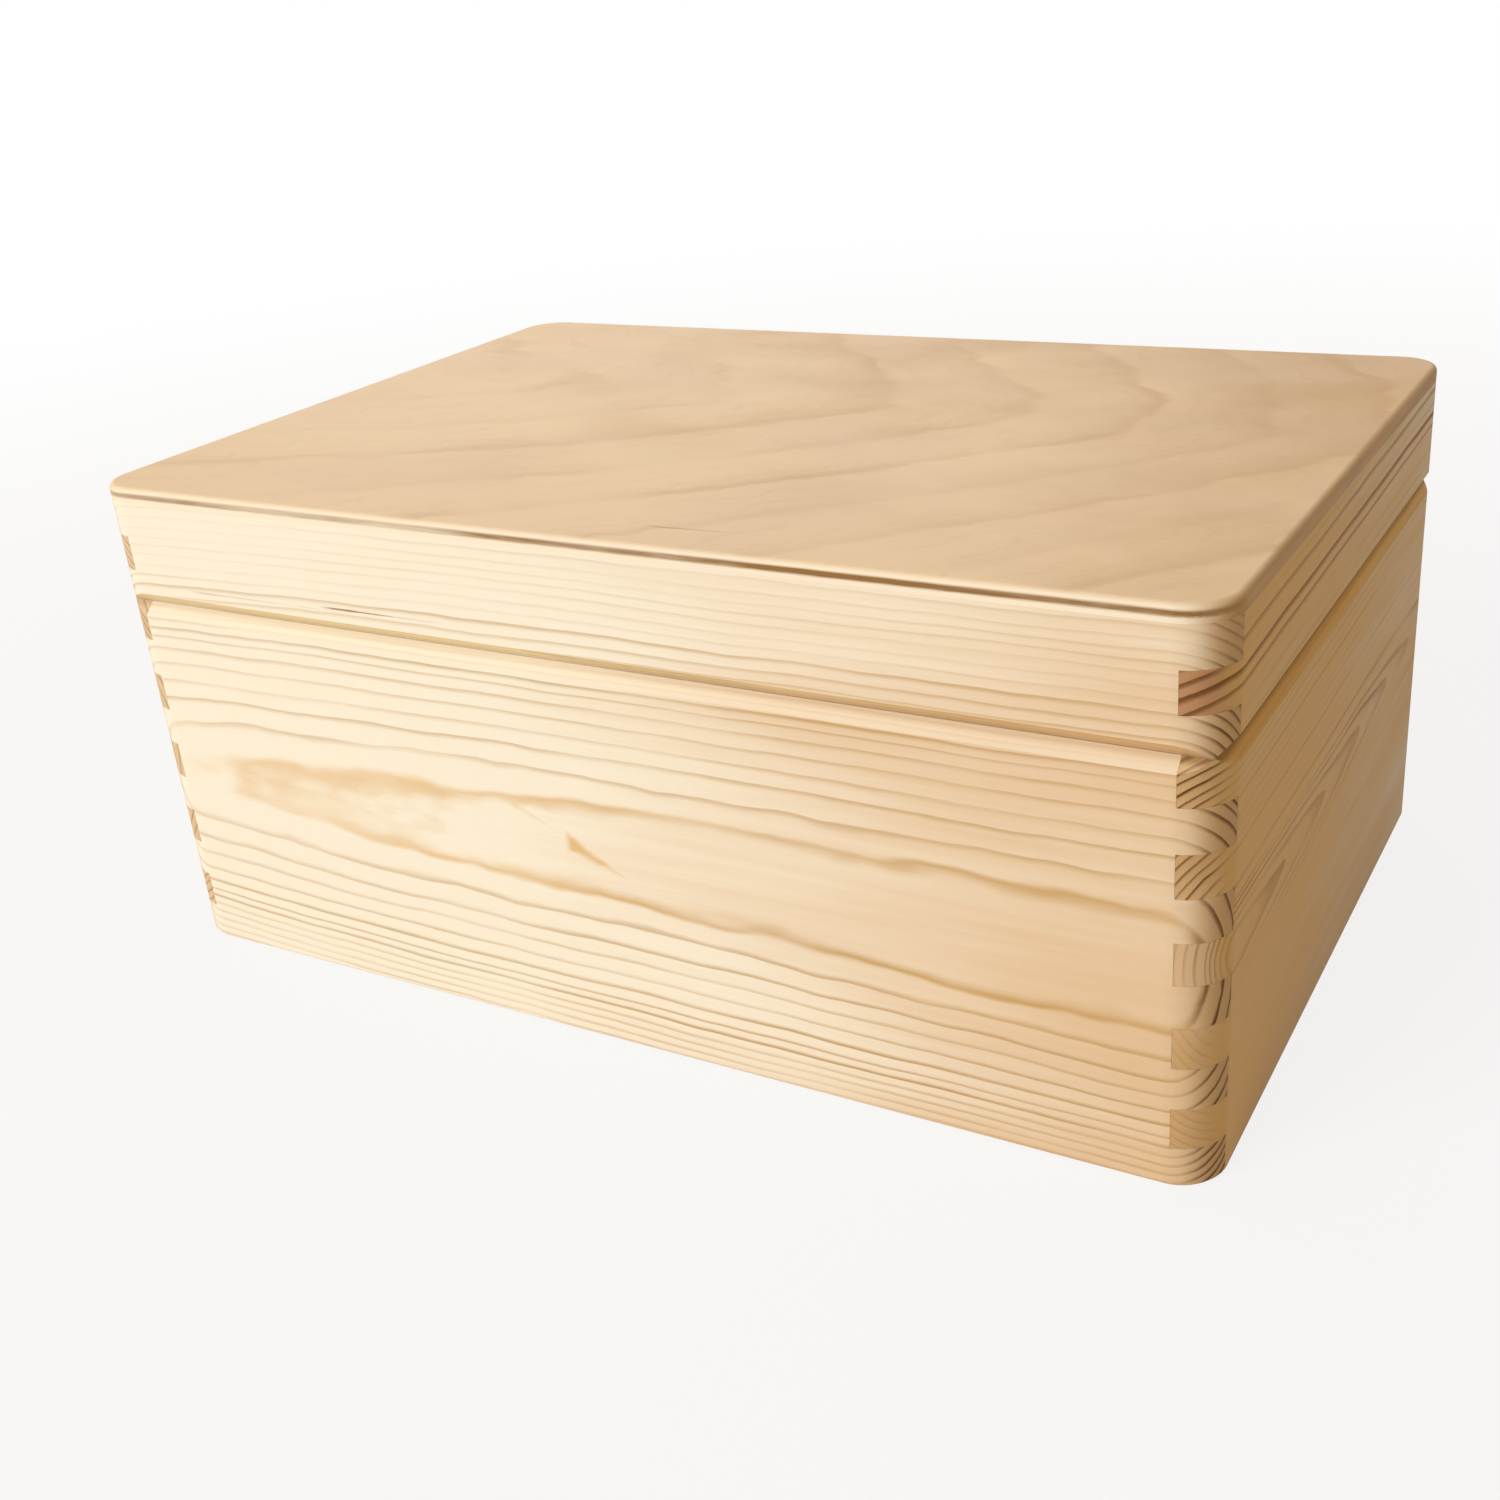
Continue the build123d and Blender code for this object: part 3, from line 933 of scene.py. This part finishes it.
class FitScrews(bpy.types.Operator):
    """Drive slotted screws through the hinge leaves in place of the plain ones"""

    bl_idname = "pine_box.screws"
    bl_label = "Hinge Screws"

    def execute(self, context):
        hinges = context.scene.box_hinges
        brass = brass_finish("screw_brass", hinges.screw_brass, hinges.roughness * 0.8)
        for body, facing in (("body", 1), ("lid", -1)):
            node = f"hinge_screws_{body}"
            low, high = (Vector(corner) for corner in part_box(node))
            head_radius = (high.y - low.y) / 2
            pattern = slotted_screw(hinges, head_radius, high.z - low.z)
            face = high.z if facing > 0 else low.z
            shape = bmesh.new()
            inset = hinges.screw_inset
            ends = (*self.screw_ends("left", body, inset), *self.screw_ends("right", body, inset))
            for turn, across in zip(SLOT_TURNS, ends):
                before = len(shape.verts)
                shape.from_mesh(pattern)
                shape.verts.ensure_lookup_table()
                place = (
                    Matrix.Translation((across, (low.y + high.y) / 2, face))
                    @ Matrix.Rotation(0 if facing > 0 else math.pi, 4, "X")
                    @ Matrix.Rotation(math.radians(turn * facing), 4, "Z")
                )
                bmesh.ops.transform(shape, matrix=place, verts=shape.verts[before:])
            mesh = bpy.data.meshes.new(f"slotted_screws_{body}")
            shape.to_mesh(mesh)
            shape.free()
            mesh.materials.append(brass)
            mesh.shade_smooth()
            mesh.set_sharp_from_angle(angle=math.radians(35))
            screws = bpy.data.objects.new(mesh.name, mesh)
            context.scene.collection.objects.link(screws)
            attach(screws, body)
            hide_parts(node)
        return {"FINISHED"}

    def screw_ends(self, side, body, inset):
        """The two places along a leaf where its screws go."""
        low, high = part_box(f"{side}_hinge_{body}_leaf")
        return low[0] + inset, high[0] - inset


FLOOR_REACH = 20.0
WHITE_FROM_MM, WHITE_AT_MM = 250, 1200  # from the middle of the box, where the floor turns to white
LAMPS = (  # name, side and place, in metres
    ("key", 1.8, (-1.30, -2.61, 1.66)),
    ("overhead", 1.0, (0.05, 0.55, 1.30)),
    ("fill", 1.8, (-1.70, 2.40, 1.30)),
)
LAMP_AIM = Vector((0, 0, 0.06))
WHITE = (1, 1, 1, 1)


class SetStage(bpy.types.Operator):
    """Lay the floor, hang the lights and stand the camera"""

    bl_idname = "pine_box.stage"
    bl_label = "Stage"

    def execute(self, context):
        scene = context.scene
        self.lay_floor(scene, scene.box_stage)
        self.hang_lamps(scene, scene.box_stage)
        self.light_sky(scene, scene.box_stage)
        self.stand_camera(scene, scene.box_stage)
        scene.view_settings.view_transform = "Standard"
        return {"FINISHED"}

    def lay_floor(self, scene, stage):
        """A pale floor that keeps the box's shadow and is seen as white further off."""
        mesh = bpy.data.meshes.new("floor")
        shape = bmesh.new()
        bmesh.ops.create_grid(shape, x_segments=1, y_segments=1, size=FLOOR_REACH)
        shape.to_mesh(mesh)
        shape.free()
        floor = bpy.data.objects.new("floor", mesh)
        finish = Finish(bpy.data.materials.new("floor"))
        plain = finish.node("ShaderNodeBsdfDiffuse", None, {"Color": stage.floor_colour[:]})
        white = finish.node("ShaderNodeEmission", None, {"Color": WHITE, "Strength": 1.0})
        away = finish.node(
            "ShaderNodeVectorMath", {"operation": "LENGTH"}, {0: finish.place()}, output="Value"
        )
        whiteness = finish.ramp(away, WHITE_FROM_MM, WHITE_AT_MM, stage.floor_whiteness, 1.0)
        share = seen_rays(finish) * whiteness
        finish.surface(finish.node("ShaderNodeMixShader", None, {0: share, 1: plain, 2: white}))
        mesh.materials.append(finish.owner)
        scene.collection.objects.link(floor)

    def hang_lamps(self, scene, stage):
        """Three soft square lamps that look at the box."""
        for name, side, position in LAMPS:
            light = bpy.data.lights.new(name, "AREA")
            light.energy = getattr(stage, f"{name}_power")
            light.size = side
            lamp = bpy.data.objects.new(name, light)
            lamp.location = position
            lamp.rotation_euler = (Vector(position) - LAMP_AIM).to_track_quat("Z", "Y").to_euler()
            scene.collection.objects.link(lamp)

    def light_sky(self, scene, stage):
        """Dim warm light from all around, seen as white."""
        world = bpy.data.worlds.new("studio")
        scene.world = world
        finish = Finish(world)
        seen = seen_rays(finish)
        colour = finish.mix(seen, stage.sky_colour[:], WHITE)
        strength = seen * (1 - stage.sky_strength) + stage.sky_strength
        finish.surface(finish.node("ShaderNodeBackground", None, {"Color": colour, "Strength": strength}))

    def stand_camera(self, scene, stage):
        """The camera at the photograph's viewing angle."""
        camera = bpy.data.cameras.new("camera")
        camera.sensor_width = 36
        camera.lens = stage.camera_lens
        camera.shift_x = stage.camera_shift
        camera.clip_start = 0.01
        stand = bpy.data.objects.new("camera", camera)
        stand.location = stage.camera_place
        stand.rotation_euler = stage.camera_turn
        scene.collection.objects.link(stand)
        scene.camera = stand


OPERATORS = (DressBodyBoards, DressLidRails, DressPanels, DressHinges, FitScrews, SetStage)
SETTINGS = {
    "box_pine": PineSettings,
    "box_plywood": PlywoodSettings,
    "box_hinges": HingeSettings,
    "box_stage": StageSettings,
}


class PineBoxPanel(bpy.types.Panel):
    """Steps that finish the box, in order"""

    bl_idname = "VIEW3D_PT_pine_box"
    bl_label = "Pine Box"
    bl_space_type = "VIEW_3D"
    bl_region_type = "UI"
    bl_category = "Pine Box"

    def draw(self, context):
        for step in OPERATORS:
            self.layout.operator(step.bl_idname)
        for group, settings in SETTINGS.items():
            column = self.layout.column()
            for setting in settings.__annotations__:
                column.prop(getattr(context.scene, group), setting)


def register():
    """Add the settings, the steps and their panel."""
    for group, settings in SETTINGS.items():
        bpy.utils.register_class(settings)
        setattr(bpy.types.Scene, group, PointerProperty(type=settings))
    for step in (*OPERATORS, PineBoxPanel):
        bpy.utils.register_class(step)


def unregister():
    """Take them away again."""
    for step in (PineBoxPanel, *reversed(OPERATORS)):
        bpy.utils.unregister_class(step)
    for group, settings in SETTINGS.items():
        delattr(bpy.types.Scene, group)
        bpy.utils.unregister_class(settings)


def main():
    """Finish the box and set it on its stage."""
    register()
    bpy.ops.pine_box.body_boards()
    bpy.ops.pine_box.lid_rails()
    bpy.ops.pine_box.panels()
    bpy.ops.pine_box.hinges()
    bpy.ops.pine_box.screws()
    bpy.ops.pine_box.stage()


if __name__ == "__main__":
    main()
